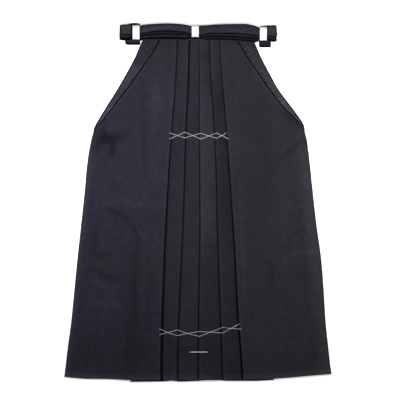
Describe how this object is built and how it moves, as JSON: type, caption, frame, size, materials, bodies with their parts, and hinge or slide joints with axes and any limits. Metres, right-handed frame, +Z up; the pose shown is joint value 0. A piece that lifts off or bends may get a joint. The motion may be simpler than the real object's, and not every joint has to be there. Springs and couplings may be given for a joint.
{
  "type": "hakama trousers laid flat",
  "caption": "Black pleated hakama trousers laid flat, with side openings, a waistband and straps folded across the top.",
  "frame": {"origin": "centre of the bounding box on the surface that the garment lies on", "axes": "+X across the garment to the right as seen, +Y along the legs towards the waist, +Z up from the surface, out of the garment's front"},
  "size_m": [0.719, 0.9631, 0.0315],
  "materials": {
    "cloth": "fine plain weave, matt with a faint sheen",
    "strap_cloth": "fine plain weave, pressed flat",
    "paper": "matt white paper"
  },
  "bodies": {
    "root": {"front_left": "cloth", "front_right": "cloth", "side_pleat_left": "cloth", "side_pleat_right": "cloth", "front_waistband": "cloth", "back_left": "cloth", "back_right": "cloth", "back_waistband": "cloth", "inner_leg_left": "cloth", "inner_leg_right": "cloth", "crotch_gusset": "cloth", "strap_core": "strap_cloth", "front_strap_left": "strap_cloth", "front_strap_right": "strap_cloth", "strap_loop_left": "strap_cloth", "strap_loop_right": "strap_cloth", "back_strap_left": "strap_cloth", "back_strap_right": "strap_cloth", "paper_band_left": "paper", "paper_band_centre": "paper", "paper_band_right": "paper"}
  },
  "joints": []
}
